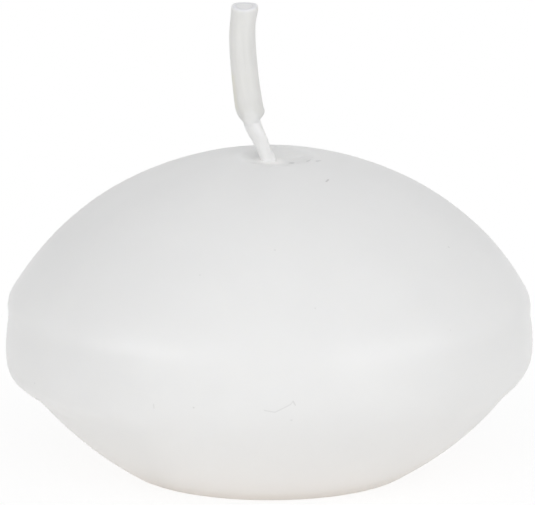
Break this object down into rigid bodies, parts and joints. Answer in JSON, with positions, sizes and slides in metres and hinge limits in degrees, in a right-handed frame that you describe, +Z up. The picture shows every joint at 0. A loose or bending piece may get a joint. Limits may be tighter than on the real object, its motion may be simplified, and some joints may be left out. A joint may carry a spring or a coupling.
{
  "type": "floating candle",
  "caption": "Round lens-shaped floating candle of pale wax with a domed top, a rounded belt, a bowl-shaped underside and a bent wick in a wax sleeve.",
  "frame": {"origin": "centre of the flat foot that the candle stands on", "axes": "+Z up along the body's axis, -X towards the side that the wick leans to, -Y towards the viewer of the picture"},
  "size_m": [0.045, 0.045, 0.0408],
  "materials": {
    "candle_wax": "smooth white paraffin wax with a soft sheen",
    "wick_cotton": "bleached braided cotton, soaked with wax",
    "dipped_wax": "thin half-clear wax over the braid",
    "tab_metal": "tinned steel sheet, dull"
  },
  "bodies": {
    "root": {"wax_body": "candle_wax", "wick": "wick_cotton", "wick_wax_coat": "dipped_wax", "wick_sustainer": "tab_metal"}
  },
  "joints": []
}
